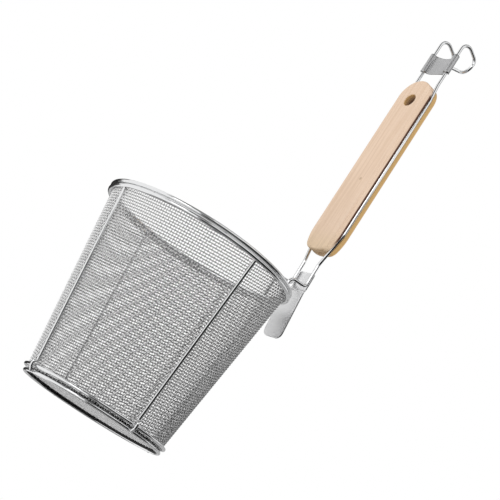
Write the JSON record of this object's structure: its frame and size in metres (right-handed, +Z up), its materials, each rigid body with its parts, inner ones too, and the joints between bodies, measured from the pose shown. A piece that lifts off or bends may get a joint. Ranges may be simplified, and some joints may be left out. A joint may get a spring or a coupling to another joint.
{
  "type": "noodle strainer basket",
  "caption": "Tapered woven-wire noodle basket on wire rings and ribs, with a wire bridge and hook plate for a pot's edge and a long wooden grip ending in a wire hook.",
  "frame": {"origin": "middle of the part's box in X and Y, on the plane that the foot ring stands on", "axes": "+Z up along the basket's axis, +X from the basket towards its handle"},
  "size_m": [0.1774, 0.1398, 0.3737],
  "materials": {
    "wire_steel": "polished round stainless wire",
    "mesh_steel": "plain-woven stainless wire mesh, semi-gloss",
    "plate_steel": "mirror-polished stainless sheet",
    "keeper_steel": "satin stainless sheet",
    "grip_wood": "pale unvarnished wood, fine straight grain"
  },
  "bodies": {
    "root": {"mesh_wall": "mesh_steel", "mesh_base": "mesh_steel", "rim_ring_upper": "wire_steel", "rim_ring_lower": "wire_steel", "girdle_ring": "wire_steel", "foot_ring": "wire_steel", "rib_1": "wire_steel", "rib_2": "wire_steel", "rib_3": "wire_steel", "rib_4": "wire_steel", "handle_wire": "wire_steel", "grip": "grip_wood", "keeper_clip": "keeper_steel", "pot_hook_plate": "plate_steel"}
  },
  "joints": []
}
